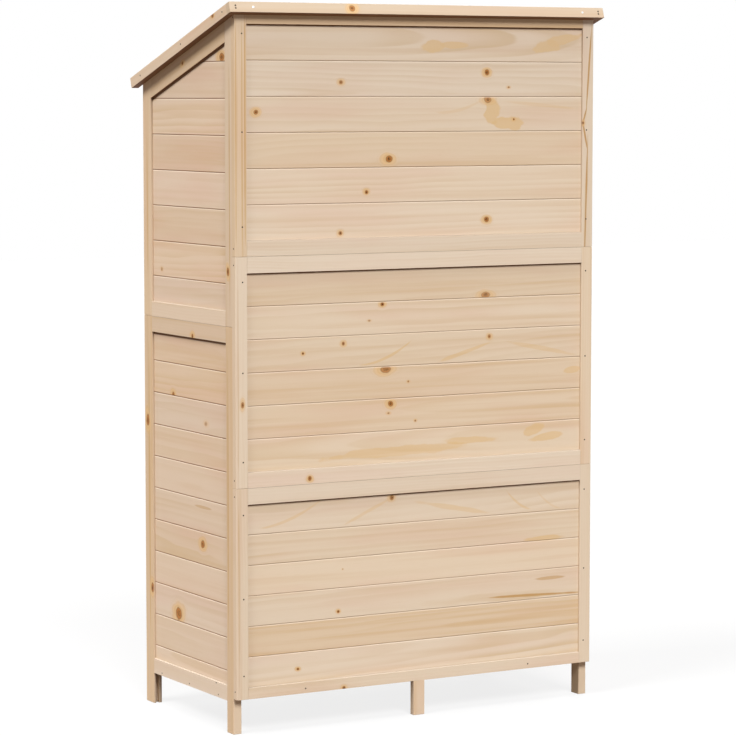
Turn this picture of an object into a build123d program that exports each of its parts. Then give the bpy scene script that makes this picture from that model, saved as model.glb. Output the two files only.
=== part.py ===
from build123d import *
import os
from math import cos, radians, sin

# Garden tool shed with a lean-to roof, in millimetres.
# X runs along the doors, +Y points to the rear wall, +Z is up.
# The origin is on the ground, under the middle of the roof's plan.

# Overall sizes
height = 1810.0
wall_width = 1050.0
side_depth = 499.0
side_bottom = 80.0
roof_pitch = 18.0
front_overhang = 33.0

# Panel boards: tongued and grooved, with a small V along every joint
board_thickness = 8.0
board_gap = 0.3
v_chamfer = 1.3
tongue_width = 2.6
tongue_height = 4.0
tongue_clearance = 0.2

# Grooved frames that hold the boards
panel_recess = 5.5
groove_clearance = 0.15
groove_depth = 10.0
board_end_clearance = 2.0
tenon_end_clearance = 0.5
panel_joint = 0.5

# Rear wall: three stacked panels on the rear edges of the side frames
rear_thickness = 18.0
rear_stile = 33.0
rear_bottom_rise = 9.0
rear_lower_height = 528.0
rear_middle_height = 572.0
rear_foot_rail = 28.0
rear_bottom_rail = 38.0
rear_top_rail = 41.0
rear_eaves_rail = 37.0
rear_board_count = 6

# Side walls: two stacked panels, the lower stiles run down as legs
side_thickness = 22.0
side_rear_stile = 35.0
side_front_stile = 46.0
side_lower_top = 1015.0
side_bottom_rail = 38.5
side_top_rail = 40.0
side_upper_rail = 38.0
slope_rail = 61.0
lower_first_board = 35.0
lower_board_pitch = 83.0
upper_first_board = 66.5
upper_board_pitch = 91.0
narrowest_board = 22.0
joint_cleat_height = 60.0
joint_cleat_thickness = 18.0
joint_cleat_inset = 60.0

# Roof: boarded deck with skirts on three sides, felt on top
deck_thickness = 12.0
deck_board_count = 6
deck_clearance = 0.2
skirt_thickness = 20.0
skirt_height = 27.0
skirt_clearance = 0.5
felt_thickness = 2.0
felt_margin = 8.0
batten_width = 34.0
batten_thickness = 18.0

# Floor and front rails
floor_thickness = 12.0
floor_board_count = 5
floor_clearance = 0.5
bearer_height = 19.0
bearer_width = 24.0
middle_bearer_width = 32.0
foot_width = 32.0
foot_thickness = 16.0
front_rail_thickness = 18.0
lintel_height = 62.0

# Doors: a pair of framed panels between the side frames
door_thickness = 18.0
door_bottom_rise = 4.0
door_top_lap = 20.0
door_stile = 42.0
door_end_rail = 46.0
door_middle_rail = 46.0
door_board_count = 8
door_hinge_gap = 2.5
door_middle_gap = 3.0
door_stop_gap = 0.5

# Butt hinges
hinge_length = 60.0
knuckle_count = 3
hinge_leaf_width = 18.0
hinge_leaf_thickness = 1.6
hinge_knuckle_radius = 3.5
hinge_pin_radius = 2.0
hinge_pin_clearance = 0.05
hinge_side_clearance = 0.3
hinge_head_radius = 3.0
hinge_head_height = 1.5
hinge_end_distance = 150.0

# Sliding bolt on the right door, keeper on the left door
bolt_radius = 4.0
bolt_clearance = 0.3
keeper_clearance = 1.0
bolt_tip_chamfer = 1.0
bolt_retract = 3.0
bolt_travel = 25.0
bolt_plate_thickness = 1.5
bolt_plate_width = 34.0
bolt_plate_length = 84.0
strap_thickness = 1.5
strap_length = 12.0
strap_end_margin = 4.0
bolt_handle_radius = 3.0
bolt_handle_length = 16.0
bolt_ball_radius = 5.0

# Turned knobs
knob_base_radius = 9.0
knob_neck_radius = 6.0
knob_head_radius = 15.0
knob_neck_height = 10.0
knob_head_level = 17.0
knob_height = 26.0
knob_rise = 90.0

# Places worked out from the sizes above
slope_cos = cos(radians(roof_pitch))
slope_sin = sin(radians(roof_pitch))
wall_depth = side_depth + rear_thickness
roof_depth = front_overhang + wall_depth + skirt_clearance + skirt_thickness * slope_cos
roof_length = (roof_depth - skirt_height * slope_sin) / slope_cos
roof_rear_edge = roof_depth / 2 - skirt_height * slope_sin
side_front = front_overhang - roof_depth / 2
side_rear = side_front + side_depth
rear_face = side_rear + rear_thickness
rear_bottom = side_bottom + rear_bottom_rise
half_width = wall_width / 2
inner_half = half_width - side_thickness
skirt_inner = half_width + skirt_clearance
skirt_outer = skirt_inner + skirt_thickness
groove_width = board_thickness + 2 * groove_clearance
board_housing = groove_depth - board_end_clearance
tenon_length = groove_depth - tenon_end_clearance
floor_bottom = rear_bottom + bearer_height
floor_top = floor_bottom + floor_thickness
stop_face = side_front + door_thickness + door_stop_gap
room_front = stop_face + front_rail_thickness
slope_edge = deck_thickness + slope_rail
roof_plane = Plane(origin=(0, roof_rear_edge, height), x_dir=(1, 0, 0), z_dir=(0, -slope_sin, slope_cos))


def level_under_roof(y, depth):
    # height of the plane that lies the given depth under the roof's top face, at y
    return height - (roof_rear_edge - y) * slope_sin / slope_cos - depth / slope_cos


lintel_bottom = level_under_roof(stop_face, deck_thickness) - lintel_height
door_bottom = side_bottom + door_bottom_rise
door_top = lintel_bottom + door_top_lap

parts = {}


def block(x0, x1, y0, y1, z0, z1):
    middle = Pos((x0 + x1) / 2, (y0 + y1) / 2, (z0 + z1) / 2)
    return middle * Box(abs(x1 - x0), abs(y1 - y0), abs(z1 - z0))


def roof_block(x0, x1, v0, v1, w0, w1):
    # v is measured up the slope from the rear edge, w square to the roof from its top face
    return roof_plane.location * block(x0, x1, v0, v1, w0, w1)


def mirrored(solids):
    return [mirror(solid, about=Plane.YZ) for solid in solids]


def placed(location, solids):
    return [location * solid for solid in solids]


def node(name, solids):
    shapes = [shape for solid in solids for shape in solid.solids()]
    parts[name] = shapes[0] if len(shapes) == 1 else Compound(children=shapes)


# Cutting blocks, far larger than the shed: all that lies under the deck, that inside the back
# skirt as well, and all that lies under the boards' upper edge in the sloped rails
far = 2 * (height + wall_width)
under_deck = roof_block(-far, far, -far, far, -far, -deck_thickness)
inside_skirt = roof_block(-far, far, -far, -skirt_thickness - skirt_clearance, -far, -deck_thickness)
under_slope_rail = roof_block(-far, far, -far, far, -far, board_housing - slope_edge)


# Panel pieces, made with the outer face at y = 0, x along the panel and z up

def board(x0, x1, z0, z1, thickness, grooved, tongued):
    middle = -thickness / 2
    half_tongue = tongue_width / 2
    half_slot = half_tongue + tongue_clearance
    top = z1 - board_gap if tongued else z1
    outline = [(-v_chamfer, z0), (0, z0 + v_chamfer)] if grooved else [(0, z0)]
    outline += [(0, top - v_chamfer), (-v_chamfer, top)] if tongued else [(0, top)]
    if tongued:
        outline += [
            (middle + half_tongue, top),
            (middle + half_tongue, top + tongue_height),
            (middle - half_tongue, top + tongue_height),
            (middle - half_tongue, top),
        ]
    outline += [(-thickness, top), (-thickness, z0)]
    if grooved:
        slot_top = z0 + tongue_height + tongue_clearance
        outline += [
            (middle - half_slot, z0),
            (middle - half_slot, slot_top),
            (middle + half_slot, slot_top),
            (middle + half_slot, z0),
        ]
    face = make_face(Plane.YZ * Polyline(*outline, close=True))
    return Pos(x0, 0, 0) * extrude(face, amount=x1 - x0, dir=(1, 0, 0))


def board_stack(x0, x1, seams, thickness=board_thickness):
    # seams are the heights of the joints, with the two outer edges
    last = len(seams) - 2
    return [
        board(x0, x1, seams[i], seams[i + 1], thickness, grooved=i > 0, tongued=i < last)
        for i in range(last + 1)
    ]


def shared_seams(bottom, top, count):
    return [bottom + (top - bottom) * i / count for i in range(count + 1)]


def even_seams(bottom, top, count):
    inner = shared_seams(bottom, top, count)[1:-1]
    return [bottom - board_housing] + inner + [top + board_housing]


def field_boards(x0, x1, seams):
    stack = board_stack(x0 - board_housing, x1 + board_housing, seams)
    return placed(Pos(0, -panel_recess - groove_clearance, 0), stack)


def groove_x(edge, direction, z0, z1):
    # the groove down a stile's inner edge, cut in the given x direction
    return block(edge, edge + direction * groove_depth, -panel_recess - groove_width, -panel_recess, z0, z1)


def stile(x0, x1, z0, z1, thickness, groove_edge, direction):
    return block(x0, x1, -thickness, 0, z0, z1) - groove_x(groove_edge, direction, z0, z1)


def tenoned_bar(x0, x1, z0, z1, thickness):
    tenon_front = -panel_recess - groove_clearance
    tenon = block(x0 - tenon_length, x1 + tenon_length, tenon_front - board_thickness, tenon_front, z0, z1)
    return block(x0, x1, -thickness, 0, z0, z1) + tenon


def rail(x0, x1, z0, z1, thickness, groove_top, groove_bottom):
    bar = tenoned_bar(x0, x1, z0, z1, thickness)
    reach = tenon_length + groove_depth
    slot_back = -panel_recess - groove_width
    if groove_top:
        bar -= block(x0 - reach, x1 + reach, slot_back, -panel_recess, z1 - groove_depth, z1)
    if groove_bottom:
        bar -= block(x0 - reach, x1 + reach, slot_back, -panel_recess, z0, z0 + groove_depth)
    return bar


# Rear wall

def rear_panel(name, bottom, top, bottom_rail, field_top):
    left, right = rear_stile, wall_width - rear_stile
    stiles = [
        stile(0, left, bottom, top, rear_thickness, left, -1),
        stile(right, wall_width, bottom, top, rear_thickness, right, 1),
    ]
    rails = [
        rail(left, right, bottom, bottom + bottom_rail, rear_thickness, True, False),
        rail(left, right, field_top, top, rear_thickness, False, True),
    ]
    seams = even_seams(bottom + bottom_rail, field_top, rear_board_count)
    boards = field_boards(left, right, seams)
    place = Pos(-half_width, rear_face, 0)
    for kind, solids in (("stiles", stiles), ("rails", rails), ("boards", boards)):
        node(f"rear_{name}_{kind}", [solid & inside_skirt for solid in placed(place, solids)])


lower_top = rear_bottom + rear_lower_height
middle_top = lower_top + rear_middle_height
eaves_level = level_under_roof(rear_face, deck_thickness)
rear_levels = [
    ("lower", rear_bottom, lower_top - panel_joint, rear_foot_rail, lower_top - rear_top_rail),
    ("middle", lower_top, middle_top - panel_joint, rear_bottom_rail, middle_top - rear_top_rail),
    ("upper", middle_top, height, rear_bottom_rail, eaves_level - rear_eaves_rail),
]
for level in rear_levels:
    rear_panel(*level)


# Side walls: x runs from the rear edge to the front edge, z up

field_rear = side_rear_stile
field_front = side_depth - side_front_stile
right_place = Location((half_width, side_rear, 0), (0, 0, -90))


def pitched_seams(bottom, top, first, pitch):
    seams = [bottom - board_housing]
    seam = bottom + first
    while seam < top - narrowest_board:
        seams.append(seam)
        seam += pitch
    return seams + [top + board_housing]


def both_sides(name, solids):
    node(f"right_side_{name}", solids)
    node(f"left_side_{name}", mirrored(solids))


lower_field = (side_bottom + side_bottom_rail, side_lower_top - side_top_rail)
rear_leg = stile(0, field_rear, 0, side_lower_top, side_thickness, field_rear, -1)
front_leg = stile(field_front, side_depth, 0, side_lower_top, side_thickness, field_front, 1)
lower_rails = [
    rail(field_rear, field_front, side_bottom, lower_field[0], side_thickness, True, False),
    rail(field_rear, field_front, lower_field[1], side_lower_top, side_thickness, False, True),
]
lower_seams = pitched_seams(*lower_field, lower_first_board, lower_board_pitch)
both_sides("rear_leg", placed(right_place, [rear_leg]))
both_sides("front_leg", placed(right_place, [front_leg]))
both_sides("lower_rails", placed(right_place, lower_rails))
both_sides("lower_boards", placed(right_place, field_boards(field_rear, field_front, lower_seams)))

upper_bottom = side_lower_top + panel_joint
upper_field_bottom = upper_bottom + side_upper_rail
upper_stiles = [
    stile(0, field_rear, upper_bottom, height, side_thickness, field_rear, -1),
    stile(field_front, side_depth, upper_bottom, height, side_thickness, field_front, 1),
]
upper_rail = rail(field_rear, field_front, upper_bottom, upper_field_bottom, side_thickness, True, False)


def sloped_rail():
    # a tall bar with tenons, cut to the band under the deck and grooved along its lower edge
    bar = right_place * tenoned_bar(field_rear, field_front, upper_field_bottom, height, side_thickness)
    band = roof_block(0, far, -far, far, -slope_edge, -deck_thickness)
    slot_outer = half_width - panel_recess
    slot_top = groove_depth - slope_edge
    slot = roof_block(slot_outer - groove_width, slot_outer, -far, far, -slope_edge, slot_top)
    return bar & band - slot


upper_top = level_under_roof(side_rear, slope_edge)
upper_seams = pitched_seams(upper_field_bottom, upper_top, upper_first_board, upper_board_pitch)
# the top board stands up to the roof's height and is then cut to the slope
upper_seams = upper_seams[:-1] + [height]
upper_boards = placed(right_place, field_boards(field_rear, field_front, upper_seams))
both_sides("upper_stiles", [s & under_deck for s in placed(right_place, upper_stiles)])
both_sides("upper_rails", placed(right_place, [upper_rail]) + [sloped_rail()])
both_sides("upper_boards", [b & under_slope_rail for b in upper_boards])

# A cleat across the joint of the two side panels ties them together inside
cleat = block(inner_half - joint_cleat_thickness, inner_half,
              side_front + joint_cleat_inset, side_rear - joint_cleat_inset,
              side_lower_top - joint_cleat_height / 2, side_lower_top + joint_cleat_height / 2)
node("right_joint_cleat", [cleat])
node("left_joint_cleat", mirrored([cleat]))


# Floor, front rails and middle feet

def bearer(x0, x1):
    return block(x0, x1, room_front, side_rear, rear_bottom, floor_bottom)


right_bearer = bearer(inner_half - bearer_width, inner_half)
node("right_floor_bearer", [right_bearer])
node("left_floor_bearer", mirrored([right_bearer]))
node("middle_floor_bearer", [bearer(-middle_bearer_width / 2, middle_bearer_width / 2)])

floor_depth = side_rear - floor_clearance - room_front - floor_clearance
floor_half = inner_half - floor_clearance
floor_seams = shared_seams(0, floor_depth, floor_board_count)
floor_stack = board_stack(-floor_half, floor_half, floor_seams, floor_thickness)
floor_place = Location((0, side_rear - floor_clearance, floor_top), (90, 0, 0))
node("floor_boards", placed(floor_place, floor_stack))

sill = block(-inner_half, inner_half, stop_face, room_front, side_bottom, floor_top)
lintel = block(-inner_half, inner_half, stop_face, room_front, lintel_bottom, height) & under_deck
node("front_sill", [sill])
node("front_lintel", [lintel])
foot_half = foot_width / 2
node("rear_foot", [block(-foot_half, foot_half, rear_face - foot_thickness, rear_face, 0, rear_bottom)])
node("front_foot", [block(-foot_half, foot_half, stop_face, stop_face + foot_thickness, 0, side_bottom)])


# Roof

deck_rear = -skirt_thickness - deck_clearance
deck_half = skirt_inner - deck_clearance
deck_run = roof_length + deck_rear
deck_seams = shared_seams(0, deck_run, deck_board_count)
deck_stack = board_stack(-deck_half, deck_half, deck_seams, deck_thickness)
# the boards stand up the slope from the front edge, with their V joints on the underside
deck_place = roof_plane.location * Location((0, -roof_length, -deck_thickness), (-90, 0, 0))
node("roof_boards", placed(deck_place, deck_stack))

side_skirt = roof_block(skirt_inner, skirt_outer, -roof_length, -skirt_thickness, -skirt_height, 0)
node("right_skirt", [side_skirt])
node("left_skirt", mirrored([side_skirt]))
node("back_skirt", [roof_block(-skirt_outer, skirt_outer, -skirt_thickness, 0, -skirt_height, 0)])
batten_half = batten_width / 2
batten_bottom = -deck_thickness - batten_thickness
batten = roof_block(-batten_half, batten_half, -roof_length, 0, batten_bottom, -deck_thickness)
node("roof_batten", [batten & block(-batten_half, batten_half, room_front, side_rear, 0, height)])
felt_half = skirt_outer - felt_margin
felt = roof_block(-felt_half, felt_half, felt_margin - roof_length, -felt_margin, 0, felt_thickness)
node("roof_felt", [felt])


# Doors: made for the left opening, with x from the meeting edge to the hinge edge

door_width = inner_half - door_hinge_gap - door_middle_gap / 2
door_place = Location((-door_middle_gap / 2, side_front, 0), (0, 0, 180))
door_field = (door_stile, door_width - door_stile)
middle_rail_bottom = (door_bottom + door_top - door_middle_rail) / 2
middle_rail_top = middle_rail_bottom + door_middle_rail
door_low_edge = door_bottom + door_end_rail
door_high_edge = door_top - door_end_rail
meeting_stile = stile(0, door_stile, door_bottom, door_top, door_thickness, door_stile, -1)
hinge_stile = stile(door_field[1], door_width, door_bottom, door_top, door_thickness, door_field[1], 1)
door_rails = [
    rail(*door_field, door_bottom, door_low_edge, door_thickness, True, False),
    rail(*door_field, middle_rail_bottom, middle_rail_top, door_thickness, True, True),
    rail(*door_field, door_high_edge, door_top, door_thickness, False, True),
]
door_boards = (
    field_boards(*door_field, even_seams(door_low_edge, middle_rail_bottom, door_board_count))
    + field_boards(*door_field, even_seams(middle_rail_top, door_high_edge, door_board_count))
)


def turned_knob():
    # half outline of the knob, turned about its own axis
    neck = (knob_neck_radius, knob_neck_height)
    rim = (knob_head_radius, knob_head_level)
    profile = [
        Line((0, 0), (knob_base_radius, 0)),
        Line((knob_base_radius, 0), neck),
        TangentArc(rim, neck, tangent=(0, -1)),
        TangentArc((0, knob_height), rim, tangent=(1, 0)),
        Line((0, knob_height), (0, 0)),
    ]
    return revolve(Plane.XZ * make_face(profile), Axis.Z)


knob_level = middle_rail_top + knob_rise
knob_place = Location((-door_middle_gap / 2 - door_stile / 2, side_front, knob_level), (90, 0, 0))
door_pieces = {
    "meeting_stile": placed(door_place, [meeting_stile]),
    "hinge_stile": placed(door_place, [hinge_stile]),
    "rails": placed(door_place, door_rails),
    "boards": placed(door_place, door_boards),
    "knob": [knob_place * turned_knob()],
}
for piece, solids in door_pieces.items():
    node(f"left_door_{piece}", solids)
    node(f"right_door_{piece}", mirrored(solids))


# Hinges: the pin's axis stands in front of the gap between door and side frame

knuckle_length = hinge_length / knuckle_count
last_knuckle = knuckle_count - 1
hinge_x = -inner_half + door_hinge_gap / 2
hinge_y = side_front - hinge_knuckle_radius
hinge_bottoms = [
    door_bottom + hinge_end_distance,
    (door_bottom + door_top - hinge_length) / 2,
    door_top - hinge_end_distance - hinge_length,
]


def knuckle_span(index):
    trim = hinge_side_clearance / 2
    low = index * knuckle_length + (trim if index > 0 else 0)
    high = (index + 1) * knuckle_length - (trim if index < last_knuckle else 0)
    return low, high


def tube(radius, z0, z1):
    return Pos(0, 0, (z0 + z1) / 2) * Cylinder(radius, z1 - z0)


def hinge_leaf(direction, own, others):
    back = hinge_knuckle_radius
    leaf = block(0, direction * hinge_leaf_width, back - hinge_leaf_thickness, back, 0, hinge_length)
    free_x = direction * (hinge_knuckle_radius + hinge_side_clearance)
    for index in others:
        low, high = knuckle_span(index)
        low = low - hinge_side_clearance if index > 0 else 0
        high = high + hinge_side_clearance if index < last_knuckle else hinge_length
        leaf -= block(0, free_x, 0, 2 * back, low, high)
    for index in own:
        leaf += tube(hinge_knuckle_radius, *knuckle_span(index))
    return leaf - tube(hinge_pin_radius + hinge_pin_clearance, 0, hinge_length)


frame_knuckles = range(0, knuckle_count, 2)
door_knuckles = range(1, knuckle_count, 2)
frame_leaf = hinge_leaf(-1, frame_knuckles, door_knuckles)
door_leaf = hinge_leaf(1, door_knuckles, frame_knuckles)
hinge_pin = tube(hinge_pin_radius, 0, hinge_length) + tube(
    hinge_head_radius, hinge_length, hinge_length + hinge_head_height)
hinge_pieces = {"frame_leaves": frame_leaf, "door_leaves": door_leaf, "pins": hinge_pin}
for piece, solid in hinge_pieces.items():
    copies = [Pos(hinge_x, hinge_y, z) * solid for z in hinge_bottoms]
    node(f"left_hinge_{piece}", copies)
    node(f"right_hinge_{piece}", mirrored(copies))


# Sliding bolt on the middle rail of the right door

bolt_level = (middle_rail_bottom + middle_rail_top) / 2
bolt_reach = bolt_plate_thickness + strap_thickness + bolt_radius
bolt_y = side_front - bolt_reach
bolt_tip = door_middle_gap / 2 + bolt_retract
plate_end = bolt_tip + bolt_plate_length
bolt_tail = plate_end + bolt_travel


def strap(x0, clearance):
    # a bent strap over the bolt, standing on the plate
    inner = bolt_radius + clearance
    outer = inner + strap_thickness
    foot = bolt_reach - bolt_plate_thickness
    section = Circle(outer) + Pos(0, -foot / 2) * Rectangle(2 * outer, foot)
    section -= Circle(inner) + Pos(0, -bolt_reach / 2) * Rectangle(2 * inner, bolt_reach)
    section_plane = Plane(origin=(x0, bolt_y, bolt_level), x_dir=(0, 0, 1), z_dir=(1, 0, 0))
    return extrude(section_plane * section, amount=strap_length, dir=(1, 0, 0))


def bolt_plate(x0, x1):
    half = bolt_plate_width / 2
    return block(x0, x1, side_front - bolt_plate_thickness, side_front, bolt_level - half, bolt_level + half)


def along_x(radius, x0, x1):
    return Pos((x0 + x1) / 2, bolt_y, bolt_level) * Rot(0, 90, 0) * Cylinder(radius, x1 - x0)


far_strap_start = plate_end - strap_end_margin - strap_length
near_strap = strap(bolt_tip + strap_end_margin, bolt_clearance)
far_strap = strap(far_strap_start, bolt_clearance)
node("bolt_plate", [bolt_plate(bolt_tip, plate_end) + near_strap + far_strap])

handle_x = far_strap_start - bolt_handle_radius - strap_end_margin
handle_end = bolt_y - bolt_handle_length
handle = Pos(handle_x, (bolt_y + handle_end) / 2, bolt_level) * Rot(90, 0, 0) * Cylinder(
    bolt_handle_radius, bolt_handle_length)
ball = Pos(handle_x, handle_end, bolt_level) * Sphere(bolt_ball_radius)
rod = along_x(bolt_radius, bolt_tip, bolt_tail)
rod = chamfer(rod.faces().sort_by(Axis.X)[0].edges(), bolt_tip_chamfer)
node("bolt_rod", [rod + handle + ball])

keeper_end = -door_middle_gap / 2 - bolt_retract
keeper_start = keeper_end - strap_length - 2 * strap_end_margin
keeper_strap = strap(keeper_start + strap_end_margin, keeper_clearance)
node("bolt_keeper", [bolt_plate(keeper_start, keeper_end) + keeper_strap])

os.makedirs("parts", exist_ok=True)
for name, shape in parts.items():
    export_step(shape, f"parts/{name}.step")
print(len(parts), "pieces written")
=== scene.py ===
import math
import bmesh
import bpy
from mathutils import Matrix, Vector


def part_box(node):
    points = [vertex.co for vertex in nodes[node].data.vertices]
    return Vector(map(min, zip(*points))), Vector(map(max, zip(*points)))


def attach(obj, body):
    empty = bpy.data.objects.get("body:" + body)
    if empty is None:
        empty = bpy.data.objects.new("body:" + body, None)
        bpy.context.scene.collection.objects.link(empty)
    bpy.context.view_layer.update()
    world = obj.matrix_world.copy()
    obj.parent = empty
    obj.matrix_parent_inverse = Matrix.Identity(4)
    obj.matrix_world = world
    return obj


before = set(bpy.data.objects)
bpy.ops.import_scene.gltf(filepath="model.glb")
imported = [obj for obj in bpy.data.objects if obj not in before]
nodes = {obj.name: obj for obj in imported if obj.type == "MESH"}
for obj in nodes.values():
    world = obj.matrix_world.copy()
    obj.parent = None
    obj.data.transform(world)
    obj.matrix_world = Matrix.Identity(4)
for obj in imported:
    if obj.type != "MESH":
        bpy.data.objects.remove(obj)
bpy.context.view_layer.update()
print("frame loaded:", len(nodes), "pieces")

mm = 0.001
xAxis = Vector((1, 0, 0))
yAxis = Vector((0, 1, 0))
zAxis = Vector((0, 0, 1))
roofFace = max(nodes["roof_felt"].data.polygons, key=lambda face: face.normal.z * face.area)
offRoof = roofFace.normal.copy()    # square to the roof
upSlope = offRoof.cross(xAxis)      # from the doors up to the rear edge


def span(name, direction):
    reach = [direction.dot(v.co) for v in nodes[name].data.vertices]
    return min(reach), max(reach)


class Wire:
    # one socket of a material, with the sums the finishes use
    def __init__(self, tree, socket=None):
        self.tree = tree
        self.socket = socket

    def node(self, kind, settings, inputs, output=0):
        made = self.tree.nodes.new("ShaderNode" + kind)
        for key, value in settings.items():
            setattr(made, key, value)
        for key, value in inputs.items():
            if isinstance(value, Wire):
                self.tree.links.new(value.socket, made.inputs[key])
            else:
                made.inputs[key].default_value = value
        return Wire(self.tree, made.outputs[output]) if made.outputs else None

    def other(self, output):
        return Wire(self.tree, self.socket.node.outputs[output])

    def calc(self, operation, *others):
        return self.node("Math", {"operation": operation}, dict(enumerate((self, *others))))

    def __add__(self, value):
        return self.calc("ADD", value)

    def __sub__(self, value):
        return self.calc("SUBTRACT", value)

    def __rsub__(self, value):
        return self * -1 + value

    def __mul__(self, value):
        return self.calc("MULTIPLY", value)

    def __truediv__(self, value):
        return self.calc("DIVIDE", value)

    def __rtruediv__(self, value):
        return self.node("Math", {"operation": "DIVIDE"}, {0: value, 1: self})

    __radd__ = __add__
    __rmul__ = __mul__

    def ease(self, low, high):
        places = {"Value": self, "From Min": low, "From Max": high}
        return self.node("MapRange", {"interpolation_type": "SMOOTHSTEP"}, places)

    def band(self, low, high, share):
        return self.ease(low, high) * share

    def spread(self, least, added):
        return self * added + least

    def dot(self, direction):
        return self.node("VectorMath", {"operation": "DOT_PRODUCT"}, {0: self, 1: direction}, "Value")

    def join(self, x, y, z):
        return self.node("CombineXYZ", {}, {0: x, 1: y, 2: z})

    def speckle(self, scale, detail):
        return self.node("TexNoise", {}, {"Vector": self, "Scale": scale, "Detail": detail})

    def cloud(self, x, y, z, detail=2.0):
        return self.join(x, y, z).speckle(1.0, detail)

    def draw(self, number, output):
        # the same chance value for the same number
        return self.node("TexWhiteNoise", {"noise_dimensions": "1D"}, {"W": number}, output)

    def mix(self, share, first, second):
        # the first colour, painted over with a share of the second
        pair = [value if isinstance(value, Wire) else (*value, 1.0) for value in (first, second)]
        return self.node("Mix", {"data_type": "RGBA"}, {0: share, 6: pair[0], 7: pair[1]}, 2)

    def paint(self, colour, share):
        return self.mix(share, self, colour)


def newFinish(name):
    finish = bpy.data.materials.new(name)
    finish.use_nodes = True
    finish.node_tree.nodes.clear()
    return finish, Wire(finish.node_tree)


def closeFinish(wire, colour, roughness, normal, fixed):
    # fixed holds the sockets that are the same all over
    places = {"Base Color": colour, "Roughness": roughness, "Normal": normal, **fixed}
    shader = wire.node("BsdfPrincipled", {}, places)
    wire.node("OutputMaterial", {}, {"Surface": shader})


def bump(wire, height, strength, distance):
    return wire.node("Bump", {}, {"Height": height, "Strength": strength, "Distance": distance})


def dress(name, finish):
    shape = nodes[name]
    shape.data.materials.clear()
    shape.data.materials.append(finish)


def newObject(name, data):
    made = bpy.data.objects.new(name, data)
    bpy.context.scene.collection.objects.link(made)
    return made


softEdge = {"weld": 0.01 * mm, "width": 0.9 * mm, "segments": 2, "corner": math.radians(40)}


def softenEdges(name):
    # joins the split corners, then takes off the sharp arris
    weld = nodes[name].modifiers.new("weld", "WELD")
    weld.merge_threshold = softEdge["weld"]
    arris = nodes[name].modifiers.new("arris", "BEVEL")
    arris.width = softEdge["width"]
    arris.segments = softEdge["segments"]
    arris.limit_method = "ANGLE"
    arris.angle_limit = softEdge["corner"]
    arris.harden_normals = True


# Bare planed pine
pine = {
    "pale": (0.728, 0.603, 0.463),
    "late": (0.600, 0.425, 0.235),       # the dark part of each year's ring
    "rose": (0.700, 0.515, 0.390),
    "tan": (0.610, 0.425, 0.250),
    "sawn": (0.560, 0.390, 0.235),
    "halo": (0.700, 0.460, 0.215),       # round a knot
    "contour": (0.500, 0.285, 0.110),    # rings in the halo
    "core": (0.450, 0.165, 0.024),
    "rim": (0.200, 0.070, 0.012),
    "heart": (0.050, 0.014, 0.002),
    "stain": (0.680, 0.465, 0.225),
    "resin": (0.500, 0.285, 0.095),
    # dark joint line, partly painted shade in the joint
    "seam": (0.270, 0.115, 0.040),
    # painted highlight along the upper edge of each board
    "arris": (0.870, 0.760, 0.630),
    "ledge": (0.550, 0.480, 0.400),      # upper edge of a rail and foot of a panel: a duller tone painted against the highlight from the lamps above
    "flank": (0.460, 0.350, 0.255),      # inner edge of a stile, painted a little darker as shade in the corner by the boards
    "groove": (0.155, 0.055, 0.010),     # painted shade below a rail, and on the undersides of rails and skirts
    "housing": 8 * mm,                   # how far the boards run into the frames
    "chance": 3.17,                      # sets the draws of neighbouring boards apart
    "rough": (0.66, 0.10),               # of the early wood, and how much smoother the late wood is
    "bump": (0.25, 0.4 * mm),            # strength, height
    "gloss": 0.3,
}


def pieceOf(v, rows):
    # rows are (low, high, count) up a stack; gives the board's number, the room below and above,
    # and v from its middle
    found = None
    for low, high, count in rows:
        step = (high - low) / count
        place = (v - low) / step
        number = place.calc("FLOOR")
        below = (place - number) * step
        own = (number, below, step - below, v - (number + 0.5) * step - low)
        if found is None:
            found = own
            continue
        second = v.calc("GREATER_THAN", low)
        shifts = (50, 0, 0, 0)    # numbers of the second stack start at 50
        found = tuple(old + (new + shift - old) * second for old, new, shift in zip(found, own, shifts))
    return found


def nearSpot(flat, centre, size, slant=0.0, bend=0.0):
    # 0 at the middle of an oval spot and 1 on its edge
    arm = flat.node("VectorMath", {"operation": "SUBTRACT"}, {0: flat, 1: (*centre, 0.0)})
    if slant:
        parts = arm.node("SeparateXYZ", {}, {0: arm})
        arm = arm.join(parts, parts.other("Y") - parts * (parts * bend + slant), 0.0)
    oval = arm.node("VectorMath", {"operation": "DIVIDE"}, {0: arm, 1: (*size, 1.0)})
    return oval.node("VectorMath", {"operation": "LENGTH"}, {0: oval}, "Value")


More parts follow.
